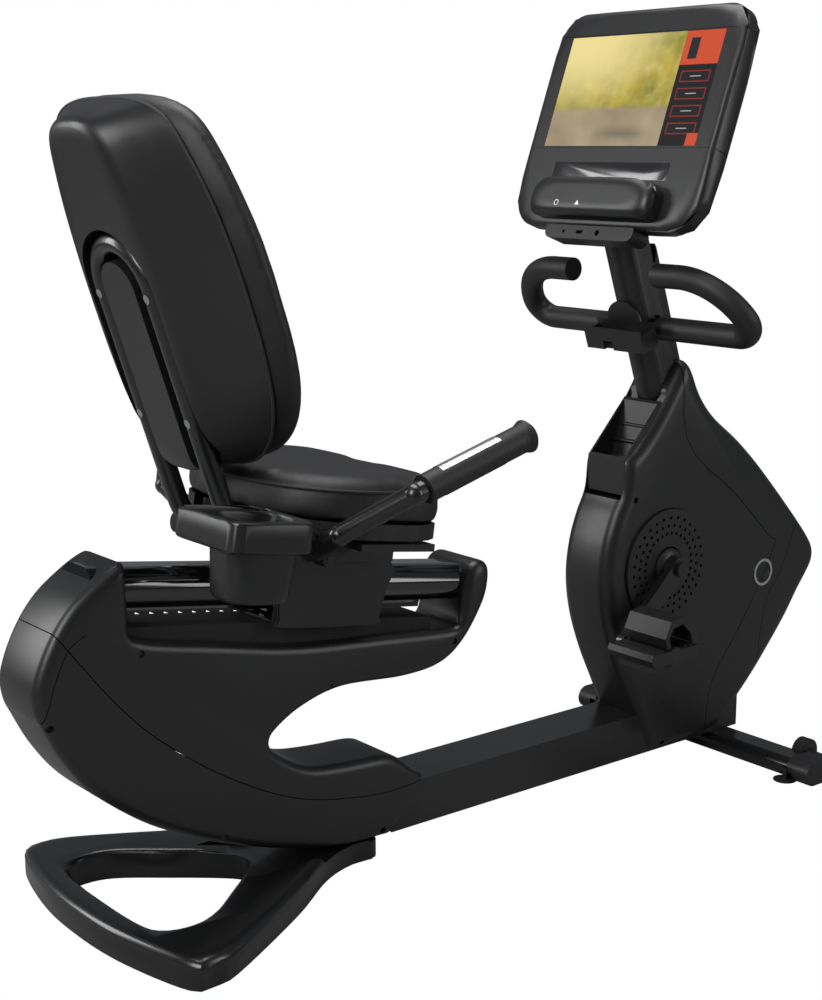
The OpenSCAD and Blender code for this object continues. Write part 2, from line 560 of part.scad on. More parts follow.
// ---- lever, drive and wheel bodies ----
module adjust_lever() color("#1d1e20") on_rail() difference() {
  union() {
    translate([-43, 0, 57.4]) across(-127, -101, 12);
    xz(-127, -112, [[-47, 66], [-33, 52], [-3, 78], [-3, 90], [-17, 90]]);
    box([-33, -186, 80], [104, -112, 91]);
  }
  translate([-43, 0, 57.4]) across(-130, -100.2, 6 + run);
}
module crank_axle() color("#8f9295") world() translate(crank_at) across(-78, 78, axle_r);
module crank_arm() difference() {
  union() {
    across(-92, -68, 22);
    translate([crank_len, 0, 0]) across(-92, -76, 15);
    xz(-92, -78, [[0, -19], [0, 19], [crank_len, 13], [crank_len, -13]]);
  }
  across(-78.1, -50, axle_r + 0.02);
}
module crank_right() color("#232426") on_crank(crank_a) {
  crank_arm();
  translate([crank_len, 0, 0]) across(-204, -73, 7);
  across(-99, -91.9, 14);
}
module crank_left() color("#232426") on_crank(crank_a + 180) mirror([0, 1, 0]) {
  crank_arm();
  translate([crank_len, 0, 0]) across(-204, -73, 7);
  across(-99, -91.9, 14);
}
module drive_pulley() color("#55585b") world() translate(crank_at) difference() {
  union() {
    across(38, 50, pulley_d / 2);
    across(32, 53, 30);
  }
  across(30, 60, axle_r + 0.02);
  for (a = [0 : 60 : 300]) rotate([0, a, 0]) translate([68, 0, 0]) across(30, 60, 20);
}
function pedal_at(a) = crank_at + crank_len * [cos(a), 0, sin(a)];
module pedal() difference() {
  union() {
    xz(-204, -100, [[-60, 2], [-56, 12], [56, 12], [60, 2], [54, -10], [-54, -10]]);
    across(-204, -100, 17);
    for (x = [-44, -28, 28, 44]) box([x - 3, -198, 11.9], [x + 3, -106, 15]);
    box([-44, -192, -24], [44, -112, -9.9]);
  }
  across(-210, -90, 7 + run);
}
module strap() difference() {
  xz(-200, -104, [[-18, 15.4], [-24, 34], [-10, 62], [22, 66], [50, 40], [54, 15.4]]);
  xz(-194, -110, [[-14, 15], [-19, 34], [-7, 58], [20, 62], [45, 38], [49, 15]]);
  xz(-205, -100, [[-8, 15], [-14, 34], [-4, 50], [19, 54], [40, 34], [44, 15]]);
}
module pedal_right() color("#1f2021") world() translate(pedal_at(crank_a)) pedal();
module pedal_left() color("#1f2021") world() translate(pedal_at(crank_a + 180)) mirror([0, 1, 0]) pedal();
module strap_right() color("#161718") world() translate(pedal_at(crank_a)) strap();
module strap_left() color("#161718") world() translate(pedal_at(crank_a + 180)) mirror([0, 1, 0]) strap();
module generator_rotor() color("#6b6e71") world() translate(gen_at) {
  across(-34, 50, 8);
  across(-20, 20, 58);
  across(36, 50, 21);
}
module wheel() world() translate([foot_x + 46, 0, 30]) difference() {
  across(-front_len / 2 + 37, -front_len / 2 + 57, 25);
  across(-front_len / 2 + 30, -front_len / 2 + 65, 6 + run);
}
module wheel_right() color("#121212") wheel();
module wheel_left() color("#121212") mirror([0, 1, 0]) wheel();

main_beam();
rear_frame();
mast_tube();
crank_bearings();
front_stabiliser();
stabiliser_end_caps();
levelling_feet();
rear_stabiliser();
seat_rail();
adjust_rack();
shroud_upper_right();
shroud_upper_left();
shroud_lower();
shroud_rear_cap();
shroud_screws();
housing_right();
housing_left();
housing_front_cover();
bottle_pocket();
vent_discs();
side_badges();
mast_front_cover();
mast_rear_cover();
handlebar_tube();
handlebar_sleeves();
accessory_holder();
console_front_shell();
console_rear_shell();
display_glass();
console_tray();
jack_module();
drive_belt();
carriage_frame();
carriage_cover_right();
carriage_cover_left();
glide_pads();
seat_pan();
seat_cushion();
back_tube();
back_shell();
back_pad();
back_bolts();
handle_tubes();
grip_sleeves();
pulse_plates();
grip_end_caps();
bottle_bin();
adjust_lever();
crank_axle();
crank_right();
crank_left();
drive_pulley();
pedal_right();
pedal_left();
strap_right();
strap_left();
generator_rotor();
wheel_right();
wheel_left();
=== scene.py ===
import json
import math

import bmesh
import bpy
import numpy as np
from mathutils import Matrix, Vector


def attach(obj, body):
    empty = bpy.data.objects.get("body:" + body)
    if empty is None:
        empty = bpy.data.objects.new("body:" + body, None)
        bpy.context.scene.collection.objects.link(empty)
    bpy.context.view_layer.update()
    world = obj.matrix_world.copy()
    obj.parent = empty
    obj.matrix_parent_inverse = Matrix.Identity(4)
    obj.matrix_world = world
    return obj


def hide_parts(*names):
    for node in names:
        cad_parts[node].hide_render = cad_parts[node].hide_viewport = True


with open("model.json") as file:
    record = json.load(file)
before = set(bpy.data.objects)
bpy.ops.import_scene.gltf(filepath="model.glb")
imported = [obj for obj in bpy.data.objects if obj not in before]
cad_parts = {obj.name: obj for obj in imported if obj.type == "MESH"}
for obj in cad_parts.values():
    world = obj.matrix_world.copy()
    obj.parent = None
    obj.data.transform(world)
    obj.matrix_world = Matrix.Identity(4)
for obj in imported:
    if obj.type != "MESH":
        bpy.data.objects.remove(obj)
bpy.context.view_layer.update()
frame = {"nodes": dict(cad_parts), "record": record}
X0 = 118.0  # design x of the middle of the row frame
FACE_TILT = 20.1
DISPLAY_W = 354
DISPLAY_H = 199
SHROUD_HALF = 61.5
HOUSE_HALF = 58
PAST = 70  # half width of a cut that runs out of both sides
CRANK = (522, 386)
FOOT_WIDTH = [1, 254 / 262]  # the drawn foot, brought to its real width
VOXEL = 0.006
CLOTH_FRAMES = 20


# ---- frames of reference: design millimetres to row metres ----
def local(origin, degrees):
    """Places points given in a frame with its own origin, turned about the y axis."""
    a = math.radians(degrees)
    ex = np.array([math.cos(a), 0, -math.sin(a)])
    ez = np.array([math.sin(a), 0, math.cos(a)])
    o = np.array(origin, float)

    def place(x, y, z):
        p = o + ex * x + ez * z
        return ((p[0] - X0) / 1000, y / 1000, p[2] / 1000)
    return place


world = local((0, 0, 0), 0)
rail = local((-240, 0, 469), 8.3)
back = local((-488, 0, 837), -18.44)
face = local((461, 0, 1217), FACE_TILT)


# ---- outlines ----
def smooth(points, n):
    """Closed smooth line through the points."""
    p = np.array(points, float)
    a, c, d = np.roll(p, 1, 0), np.roll(p, -1, 0), np.roll(p, -2, 0)
    out = []
    for k in range(n):
        t = k / n
        out.append(p + 0.5 * t * (c - a + t * (2 * a - 5 * p + 4 * c - d + t * (3 * (p - c) + d - a))))
    return np.stack(out, 1).reshape(-1, 2)


def even(p, step=None):
    """The closed outline again, with its points evenly spaced."""
    q = np.vstack([p, p[:1]])
    s = np.concatenate([[0], np.cumsum(np.linalg.norm(np.diff(q, axis=0), axis=1))])
    t = np.linspace(0, s[-1], int(s[-1] / step) if step else len(p), endpoint=False)
    return np.stack([np.interp(t, s, q[:, 0]), np.interp(t, s, q[:, 1])], 1)


def area(p):
    q = np.roll(p, -1, 0)
    return 0.5 * float(np.sum(p[:, 0] * q[:, 1] - q[:, 0] * p[:, 1]))


def inset(p, d):
    """The outline moved inwards by d, a little at a time so tight corners never fold."""
    p = p.copy()
    sign = 1 if area(p) > 0 else -1
    steps = max(1, int(abs(d)))
    for _ in range(steps if d else 0):
        t = np.roll(p, -1, 0) - np.roll(p, 1, 0)
        t /= np.maximum(np.linalg.norm(t, axis=1), 1e-9)[:, None]
        p += sign * np.stack([-t[:, 1], t[:, 0]], 1) * d / steps
        p = even(0.8 * p + 0.1 * (np.roll(p, 1, 0) + np.roll(p, -1, 0)))
    return p


def arc(centre, r, start, end, n):
    """Points on an arc from one angle to another, in degrees, both ends included."""
    turns = [math.radians(start + (end - start) * k / n) for k in range(n + 1)]
    return [(centre[0] + r * math.cos(t), centre[1] + r * math.sin(t)) for t in turns]


def round_box(w, a, b, r, q, n=9):
    """Box of width w from a to b, with upper corners of radius r and lower corners of radius q."""
    out = arc((w / 2 - r, b - r), r, 0, 90, n)
    out += arc((r - w / 2, b - r), r, 90, 180, n)
    out += arc((q - w / 2, a + q), q, 180, 270, n)
    out += arc((w / 2 - q, a + q), q, 270, 360, n)
    return np.array(out)


def rounded(points, c, n=7):
    """The polygon with each corner replaced by a curve that starts c before it."""
    p = np.array(points, float)
    out = []
    for i in range(len(p)):
        a, b, d = p[i - 1], p[i], p[(i + 1) % len(p)]
        u, v = (a - b) / np.linalg.norm(a - b), (d - b) / np.linalg.norm(d - b)
        k = min(c, 0.48 * np.linalg.norm(a - b), 0.48 * np.linalg.norm(d - b))
        for j in range(n + 1):
            t = j / n
            out.append((1 - t) ** 2 * (b + u * k) + 2 * t * (1 - t) * b + t * t * (b + v * k))
    return np.array(out)


# ---- mesh helpers ----
def make(name, verts, faces, sharp=35):
    me = bpy.data.meshes.new(name)
    me.from_pydata([tuple(map(float, v)) for v in verts], [], faces)
    me.validate()
    o = bpy.data.objects.new(name, me)
    bpy.context.scene.collection.objects.link(o)
    fix(o, sharp)
    return o


def fix(o, sharp=35):
    """Welds the mesh, turns its faces outwards and shades it smooth between its sharp edges."""
    bm = bmesh.new()
    bm.from_mesh(o.data)
    bmesh.ops.remove_doubles(bm, verts=bm.verts, dist=1e-6)
    bmesh.ops.recalc_face_normals(bm, faces=bm.faces)
    bm.to_mesh(o.data)
    bm.free()
    o.data.polygons.foreach_set("use_smooth", [True] * len(o.data.polygons))
    o.data.set_sharp_from_angle(angle=math.radians(sharp))


def loft(name, rings, sharp=35, closed=False):
    """Skin through rings of equal length, capped at both ends unless closed on itself."""
    m = len(rings[0])
    verts = [v for r in rings for v in r]
    faces = []
    n = len(rings)
    for j in range(n if closed else n - 1):
        for i in range(m):
            a, b = j * m + i, j * m + (i + 1) % m
            k = (j + 1) % n
            faces.append((a, b, k * m + (i + 1) % m, k * m + i))
    if not closed:
        faces += [tuple(range(m - 1, -1, -1)), tuple(range((n - 1) * m, n * m))]
    return make(name, verts, faces, sharp)


def slab(name, outline, w, r, steps=6):
    """A side body from y = -w to w with its whole edge rounded."""
    rings = []
    for side in (-1, 1):
        part = []
        for k in range(steps + 1):
            a = math.radians(90 * k / steps)
            q = inset(outline, r * (1 - math.cos(a)))
            y = side * (w - r + r * math.sin(a))
            part.append([world(p[0], y, p[1]) for p in q])
        rings += part[::-1] if side < 0 else part
    return loft(name, rings)


def prism(name, poly, y0, y1, place=world):
    """The side outline carried straight from y0 to y1."""
    return loft(name, [[place(p[0], y, p[1]) for p in poly] for y in (y0, y1)])


def stack(name, line, levels, at, sharp=35):
    """Skin through insets of one outline; each level gives where it lies and how far in."""
    return loft(name, [[at(p, level) for p in inset(line, d)] for level, d in levels], sharp)


def on_face(p, x):
    return face(x, p[0], p[1])


def on_rail(p, z):
    return rail(p[0], p[1], z)


def on_floor(p, z):
    return world(p[0], p[1], z)


def plate(name, poly, x0, x1, place=face, d=0.0):
    """The front outline carried from x0 to x1, its first edge drawn in by d."""
    rings = []
    for x, i in ((x0, d), (x0 + d, 0), (x1, 0)):
        rings.append([place(x, p[0], p[1]) for p in (inset(poly, i) if i else poly)])
    return loft(name, rings)


def ribbon(points, width):
    """Thin closed band along an open line."""
    p = np.array(points, float)
    t = np.gradient(p, axis=0)
    t /= np.linalg.norm(t, axis=1)[:, None]
    n = np.stack([-t[:, 1], t[:, 0]], 1) * width / 2
    return np.concatenate([p + n, (p - n)[::-1]])


def curve(points, n=6):
    """Open smooth line through the points."""
    p = np.array(points, float)
    q = np.vstack([2 * p[0] - p[1], p, 2 * p[-1] - p[-2]])
    out = [p[0]]
    for i in range(1, len(q) - 2):
        a, b, c, d = q[i - 1], q[i], q[i + 1], q[i + 2]
        for k in range(1, n + 1):
            t = k / n
            out.append(b + 0.5 * t * (c - a + t * (2 * a - 5 * b + 4 * c - d + t * (3 * (b - c) + d - a))))
    return np.array(out)


def cyl(name, c, r, y0, y1, n=32):
    """Cylinder across the bike, its axis at c in side view."""
    return prism(name, np.array(arc(c, r, 0, 360, n)[:-1]), y0, y1)


def tube(name, points, r, n=10):
    """Round cord along a closed line of points."""
    p = np.array(points, float)
    t = np.roll(p, -1, 0) - np.roll(p, 1, 0)
    t /= np.linalg.norm(t, axis=1)[:, None]
    up = np.array([0.13, 0.21, 0.97])
    u = np.cross(t, up)
    u /= np.linalg.norm(u, axis=1)[:, None]
    v = np.cross(t, u)
    turns = [2 * math.pi * k / n for k in range(n)]
    rings = [[p[i] + r * (math.cos(a) * u[i] + math.sin(a) * v[i]) for a in turns] for i in range(len(p))]
    return loft(name, rings, 60, True)


def bake(o):
    """Turns the object's modifiers into its own plain mesh."""
    shown = o.evaluated_get(bpy.context.evaluated_depsgraph_get())
    me = bpy.data.meshes.new_from_object(shown)
    o.modifiers.clear()
    o.data = me


def take_away(o, cutter):
    """Cuts one shape out of the object and throws the cutter away."""
    m = o.modifiers.new("cut", "BOOLEAN")
    m.operation = "DIFFERENCE"
    m.object = cutter
    m.solver = "MANIFOLD"
    bake(o)
    bpy.data.objects.remove(cutter)


def carve(o, cutters, sharp=35):
    for c in cutters:
        take_away(o, c)
    fix(o, sharp)


# ---- materials ----
def grain_group():
    """Fine bumps over the surface, and broad soft changes in how rough it is."""
    g = bpy.data.node_groups.new("FineGrain", "ShaderNodeTree")
    number = "NodeSocketFloat"
    for name, value in (("Scale", 900), ("Depth", 0.1), ("Rough", 0.4), ("Spread", 0.05)):
        g.interface.new_socket(name, in_out="INPUT", socket_type=number).default_value = value
    g.interface.new_socket("Normal", in_out="OUTPUT", socket_type="NodeSocketVector")
    g.interface.new_socket("Roughness", in_out="OUTPUT", socket_type=number)
    given = g.nodes.new("NodeGroupInput").outputs
    result = g.nodes.new("NodeGroupOutput").inputs
    place = g.nodes.new("ShaderNodeTexCoord").outputs["Object"]
    fine = g.nodes.new("ShaderNodeTexNoise")
    broad = g.nodes.new("ShaderNodeTexNoise")
    bump = g.nodes.new("ShaderNodeBump")
    rough = g.nodes.new("ShaderNodeMath")
    fine.inputs["Detail"].default_value = 3
    broad.inputs["Scale"].default_value = 14
    broad.inputs["Detail"].default_value = 4
    bump.inputs["Distance"].default_value = 0.0006
    rough.operation = "MULTIPLY_ADD"
    for a, b in (
        (place, fine.inputs["Vector"]), (place, broad.inputs["Vector"]),
        (given["Scale"], fine.inputs["Scale"]), (given["Depth"], bump.inputs["Strength"]),
        (fine.outputs["Fac"], bump.inputs["Height"]), (bump.outputs["Normal"], result["Normal"]),
        (broad.outputs["Fac"], rough.inputs[0]), (given["Spread"], rough.inputs[1]),
        (given["Rough"], rough.inputs[2]), (rough.outputs[0], result["Roughness"]),
    ):
        g.links.new(a, b)
    return g


grain = grain_group()


def material(name, rgb, rough=0.4, scale=900, depth=0.1, spread=0.06, metal=0.0, coat=0.0):
    """A finish with the shared grain."""
    m = bpy.data.materials.new(name)
    m.use_nodes = True
    b = m.node_tree.nodes["Principled BSDF"]
    g = m.node_tree.nodes.new("ShaderNodeGroup")
    g.node_tree = grain
    for k, v in (("Scale", scale), ("Depth", depth), ("Rough", rough), ("Spread", spread)):
        g.inputs[k].default_value = v
    m.node_tree.links.new(g.outputs["Normal"], b.inputs["Normal"])
    m.node_tree.links.new(g.outputs["Roughness"], b.inputs["Roughness"])
    b.inputs["Base Color"].default_value = (*rgb, 1)
    b.inputs["Metallic"].default_value = metal
    b.inputs["Coat Weight"].default_value = coat
    b.inputs["Coat Roughness"].default_value = 0.06
    m.diffuse_color = (*rgb, 1)
    return m


FINISHES = {
    # colour, then roughness, grain scale, grain depth, spread, metal, coat
    "satin_black": ((0.0085, 0.0087, 0.0092), 0.34, 1400, 0.10),
    "soft_black": ((0.006, 0.006, 0.0065), 0.42, 1200, 0.12),
    "gloss_rail": ((0.003, 0.003, 0.0035), 0.08, 300, 0.015, 0.02, 0, 0.9),
    "painted_black": ((0.006, 0.0062, 0.0067), 0.27, 1000, 0.08, 0.05, 0, 0.25),
    "steel": ((0.42, 0.43, 0.44), 0.26, 700, 0.05, 0.08, 1.0),
    "plate_metal": ((0.66, 0.67, 0.68), 0.24, 1500, 0.06, 0.05, 1.0),
    "badge_metal": ((0.62, 0.63, 0.64), 0.22, 900, 0.04, 0.05, 1.0),
    "rubber": ((0.006, 0.006, 0.006), 0.62, 800, 0.25),
    "foam": ((0.008, 0.008, 0.0085), 0.5, 1100, 0.32),
    "wheel_tyre": ((0.006, 0.006, 0.006), 0.55, 500, 0.2),
    "fabric": ((0.0075, 0.0075, 0.008), 0.46, 1700, 0.45, 0.05),
    "nylon": ((0.6, 0.6, 0.57), 0.45, 900, 0.08),
    "iron": ((0.17, 0.17, 0.18), 0.4, 500, 0.12, 0.1, 1.0),
    # painted shade: the matt near-black finish of the block under the rail
    "painted_shade_black": ((0.004, 0.004, 0.004), 0.7, 700, 0.1),
    "thread": ((0.012, 0.012, 0.0125), 0.6, 2500, 0.3),
    "print_white": ((0.8, 0.8, 0.8), 0.4, 900, 0.02),
    "gloss_black": ((0.012, 0.012, 0.013), 0.14, 600, 0.02, 0.03, 0, 0.5),
}
MAT = {name: material(name, *finish) for name, finish in FINISHES.items()}


class Picture:
    """Small helpers that write colours and sums as shader nodes."""

    def __init__(self, tree):
        self.nodes = tree.nodes
        self.link = tree.links.new
        self.place = tree.nodes.new("ShaderNodeTexCoord").outputs["Object"]

    def feed(self, socket, value):
        if isinstance(value, bpy.types.NodeSocket):
            self.link(value, socket)
        elif isinstance(value, tuple):
            socket.default_value = (*value, 1)
        else:
            socket.default_value = value

    def sum(self, operation, *values, clamp=False):
        n = self.nodes.new("ShaderNodeMath")
        n.operation = operation
        n.use_clamp = clamp
        for socket, value in zip(n.inputs, values):
            self.feed(socket, value)
        return n.outputs[0]

    def times(self, a, b):
        return self.sum("MULTIPLY", a, b)

    def less(self, a, b):
        return self.sum("SUBTRACT", a, b)

    def mix(self, fac, a, b):
        n = self.nodes.new("ShaderNodeMix")
        n.data_type = "RGBA"
        self.link(fac, n.inputs["Factor"])
        self.feed(n.inputs["A"], a)
        self.feed(n.inputs["B"], b)
        return n.outputs["Result"]

    def noise(self, scale):
        n = self.nodes.new("ShaderNodeTexNoise")
        n.inputs["Scale"].default_value = scale
        n.inputs["Detail"].default_value = 2
        self.link(self.place, n.inputs["Vector"])
        return n.outputs["Fac"]

    def between(self, x, low, high, soft=0.004):
        a = self.sum("DIVIDE", self.less(x, low), soft, clamp=True)
        b = self.sum("DIVIDE", self.less(high, x), soft, clamp=True)
        return self.times(a, b)


SCREEN_RED = (0.72, 0.09, 0.03)
MENU_AT = 0.765  # share of the display's width where the menu column starts


def landscape(pic, u, v):
    """Blurred sunny trees over a pale road, with a soft shade on it."""
    leaves = pic.sum("MULTIPLY", pic.noise(22), 1.5, clamp=True)
    trees = pic.mix(leaves, (0.05, 0.10, 0.01), (0.55, 0.42, 0.04))
    trees = pic.mix(pic.sum("POWER", pic.noise(45), 3.0, clamp=True), trees, (0.95, 0.85, 0.35))
    dx = pic.less(u, 0.1)
    dy = pic.less(v, 0.95)
    far = pic.times(pic.sum("ADD", pic.times(dx, dx), pic.times(dy, dy)), 2.6)
    trees = pic.mix(pic.sum("SUBTRACT", 1.0, far, clamp=True), trees, (1.0, 0.85, 0.35))
    road = pic.mix(pic.noise(12), (0.22, 0.17, 0.10), (0.62, 0.50, 0.32))
    edge = pic.sum("ADD", pic.times(pic.noise(9), 0.12), 0.26)
    view = pic.mix(pic.sum("DIVIDE", pic.less(v, edge), 0.05, clamp=True), road, trees)
    shade = pic.times(pic.between(u, 0.3, 0.72, 0.15), pic.between(v, 0.02, 0.2, 0.09))
    return pic.mix(pic.times(shade, 0.55), view, (0.05, 0.06, 0.06))


def menu_column(pic, out, u, v):
    """A red tile, four outlined boxes with a plain bar in each, and a red corner."""
    def box(below, colour, left, right, low, high, soft=0.004):
        return pic.mix(pic.times(pic.between(u, left, right, soft), pic.between(v, low, high)), below, colour)

    out = pic.mix(pic.sum("GREATER_THAN", u, MENU_AT), out, (0.012, 0.011, 0.012))
    out = box(out, SCREEN_RED, MENU_AT, 1.0, 0.70, 1.0, 0.002)
    out = box(out, (0.02, 0.02, 0.025), 0.80, 0.86, 0.75, 0.94)
    for middle in (0.60, 0.45, 0.30, 0.15):
        out = box(out, (0.30, 0.03, 0.02), 0.79, 0.975, middle - 0.052, middle + 0.052)
        out = box(out, (0.015, 0.013, 0.014), 0.796, 0.969, middle - 0.042, middle + 0.042)
        out = box(out, (0.5, 0.5, 0.5), 0.85, 0.92, middle - 0.006, middle + 0.006)
    return box(out, SCREEN_RED, 0.93, 1.0, 0.0, 0.11)


def screen_material():
    """The display: a soft landscape beside a plain column of menu boxes, with no lettering."""
    m = bpy.data.materials.new("screen")
    m.use_nodes = True
    b = m.node_tree.nodes["Principled BSDF"]
    pic = Picture(m.node_tree)
    apart = m.node_tree.nodes.new("ShaderNodeSeparateXYZ")
    pic.link(pic.place, apart.inputs[0])
    middle = face(0, 0, 0)
    tilt = math.radians(FACE_TILT)
    across = pic.times(pic.less(apart.outputs[0], middle[0]), math.sin(tilt))
    upright = pic.times(pic.less(apart.outputs[2], middle[2]), math.cos(tilt))
    height = pic.sum("ADD", across, upright)
    u = pic.sum("MULTIPLY_ADD", apart.outputs[1], -1000 / DISPLAY_W, 0.5)
    v = pic.sum("MULTIPLY_ADD", height, 1000 / DISPLAY_H, 0.5)
    pic.link(menu_column(pic, landscape(pic, u, v), u, v), b.inputs["Emission Color"])
    b.inputs["Emission Strength"].default_value = 0.85
    b.inputs["Base Color"].default_value = (0.006, 0.006, 0.007, 1)
    b.inputs["Roughness"].default_value = 0.12
    m.diffuse_color = (0.3, 0.3, 0.2, 1)
    return m


MAT["screen"] = screen_material()
slots = {s["node"]: s["material_slot"] for s in frame["record"]["subparts"]}
for node, o in frame["nodes"].items():
    o.data.materials.clear()
    o.data.materials.append(MAT[slots[node]])


def piece(o, body, slot, replaces=(), look=None):
    """Puts a finished shape on its body, in its slot, in place of the nodes it stands for."""
    o.data.materials.clear()
    o.data.materials.append(MAT[look or slot])
    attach(o, body)
    if replaces:
        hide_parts(*replaces)
    return o


# ---- rear shroud ----
seam = [[-156, 118], [-287, 146], [-412, 209], [-526, 292], [-598, 365], [-666, 452]]
shroud_line = even(smooth([[-572, 558], [-569, 530], [-567, 480], [-556, 449], [-420, 417], [-283, 389],
    [-120, 373], [20, 361], [38, 372], [46, 425], [60, 455], [80, 463], [97, 455], [100, 432], [89, 393],
    [49, 337], [0, 305], [-75, 297], [-199, 305], [-275, 289], [-325, 262], [-338, 243], [-312, 217],
    [-262, 190], [-193, 180], [-118, 175], [-90, 164], [-58, 138], [-38, 120], [-70, 80], [-102, 43],
    [-126, 40], [-212, 45], [-320, 70], [-432, 110], [-500, 142], [-563, 180], [-634, 238], [-676, 292],
    [-704, 345], [-714, 368], [-717, 400], [-704, 440], [-682, 480], [-655, 512], [-620, 538],
    [-590, 555]], 6), 6)
shroud = slab("rear_shroud", shroud_line, SHROUD_HALF, 16)
seam_line = curve([[-20, 120], [-80, 116]] + seam + [[-700, 497], [-740, 520]])
cap_line = curve([[-640, 470], [-666, 452], [-687, 412], [-708, 352], [-722, 335]])
screws = [(-554, 427), (21, 339), (-228, 311), (-423, 118), (-126, 52), (-697, 347)]
holes = [cyl("hole", p, 5.6, s * 52, s * PAST) for p in screws for s in (-1, 1)]
slits = [prism("slit", ribbon(line, w), -PAST, PAST) for line, w in ((seam_line, 1.5), (cap_line, 1.3))]
carve(shroud, slits + holes)
piece(shroud, "frame", "satin_black", ["shroud_upper_right", "shroud_upper_left", "shroud_lower",
    "shroud_rear_cap"])

# Matt near-black block under the rail: painted shade that fills the gaps under the rail, so the white behind
# no longer shows through the rack's holes.
shade_block = prism("rail_shade_block", [[-352, -92], [-352, -53], [236, -53], [244, -92]], -42, 42, rail)
piece(shade_block, "frame", "satin_black", look="painted_shade_black")

# ---- rear stabiliser ----
foot_line = smooth([[-600, -252], [-632, -120], [-640, 0], [-632, 120], [-600, 252], [-565, 262], [-522, 252],
    [-352, 152], [-248, 78], [-180, 52], [-130, 48], [-130, -48], [-180, -52], [-248, -78], [-352, -152],
    [-522, -252], [-565, -262]], 6) * FOOT_WIDTH
foot_hole = smooth([[-594, -110], [-598, 0], [-594, 110], [-575, 150], [-510, 152], [-430, 92], [-360, 30],
    [-345, 0], [-360, -30], [-430, -92], [-510, -152], [-575, -150]], 6) * FOOT_WIDTH
foot = stack("rear_foot", foot_line, ((4, 2), (5, 0.6), (7, 0), (36, 0), (41, 0.8), (45, 2.6), (48, 5.5),
    (50, 9), (51, 14), (51, 20)), on_floor)
window = stack("hole", foot_hole, ((-5, 0), (44, 0), (47, -1), (49.5, -3.5), (51, -8), (60, -9)), on_floor)
notch = prism("notch", [[-400, 53], [-320, 37.7], [-100, 37.7], [-100, 60], [-400, 60]], -80, 80)
carve(foot, [window, notch])
piece(foot, "frame", "painted_black", ["rear_stabiliser"])

# ---- bottle bin ----
rim_line = rounded([[-338, -162], [-338, -300], [-326, -312], [-217, -312], [-205, -296], [-205, -162]], 16)
cup_line = rounded([[-324, -216], [-324, -303], [-218, -303], [-218, -216]], 30)
well_line = rounded([[-320, -220], [-320, -299], [-222, -299], [-222, -220]], 27)
dish_line = rounded([[-334, -166], [-334, -211], [-209, -211], [-209, -166]], 12)
rim = stack("bin_rim", rim_line, ((100, 3), (101, 1), (103, 0), (137, 0), (140, 0.8), (142, 3)), on_rail)
cup = stack("bin_cup", cup_line, ((29, 16), (30, 11), (33, 7), (38, 4.5), (60, 3), (101, 0)), on_rail)
for o in (rim, cup):
    well = stack("well", well_line, ((34, 14), (40, 6), (60, 4), (100, 0.5), (138, 0), (143, -1.5)), on_rail)
    dish = stack("tray", dish_line, ((104, 5), (108, 1), (138, 0), (143, -1.5)), on_rail)
    carve(o, [well, dish])
piece(rim, "seat_carriage", "satin_black", ["bottle_bin"])
piece(cup, "seat_carriage", "satin_black")

# ---- drive housing ----
house_line = even(smooth([[421, 586], [440, 600], [480, 640], [520, 694], [552, 742], [566, 752], [585, 735],
    [606, 693], [647, 646], [719, 593], [791, 530], [895, 426], [942, 373], [953, 345], [946, 320],
    [909, 274], [870, 222], [790, 135], [724, 76], [690, 51], [650, 40], [500, 38], [480, 70], [461, 118],
    [439, 163], [403, 238], [379, 308], [370, 376], [378, 439], [396, 490], [414, 527]], 6), 6)
house = slab("drive_housing", house_line, HOUSE_HALF, 24)
front_seam = curve([[556, 800], [566, 612], [700, 497], [800, 405], [821, 376], [740, 250], [655, 138],
    [640, 20]], 4)
tip_seam = curve([[960, 470], [887, 416], [846, 330], [799, 262], [780, 100]], 4)
pocket_line = [[380, 519.6], [452.5, 515.6], [482, 556], [525, 690], [525, 780], [380, 780]]
cuts = [prism("slit", ribbon(line, w), -PAST, PAST) for line, w in ((front_seam, 1.4), (tip_seam, 1.2))]
cuts.append(prism("pocket", pocket_line, -44.4, 44.4))
cuts += [cyl("recess", CRANK, 105.5, s * 53, s * PAST, n=96) for s in (-1, 1)]
cuts += [cyl("hole", p, 5, s * 45, s * PAST) for p in ((439, 516), (528, 50)) for s in (-1, 1)]
carve(house, cuts)
piece(house, "frame", "satin_black", ["housing_right", "housing_left", "housing_front_cover"])
for s, side in ((-1, "right"), (1, "left")):
    rings = []
    for y, r in ((50, 36), (50, 34), (66, 33), (71, 28), (73, 20), (73, 5)):
        rings.append([world(x, s * y, z) for x, z in arc(CRANK, r, 0, 360, 48)[:-1]])
    piece(loft("hub_dome_" + side, rings), "frame", "soft_black")

# ---- seat back shell ----
back_line = smooth([[0, -185], [70, -183], [136, -166], [190, -128], [226, -72], [242, -4], [245, 62],
    [243, 120],
    [236, 170], [222, 225], [200, 275], [172, 318], [130, 340], [70, 350], [0, 352], [-70, 350], [-130, 340],
    [-172, 318], [-200, 275], [-222, 225], [-236, 170], [-243, 120], [-245, 62], [-242, -4], [-226, -72],
    [-190, -128], [-136, -166], [-70, -183]], 5)


def back_ring(x, a, b):
    """The seat back's outline at depth x, its width and height scaled about its middle."""
    return [back(x, p[0] * a, 85 + (p[1] - 85) * b) for p in back_line]


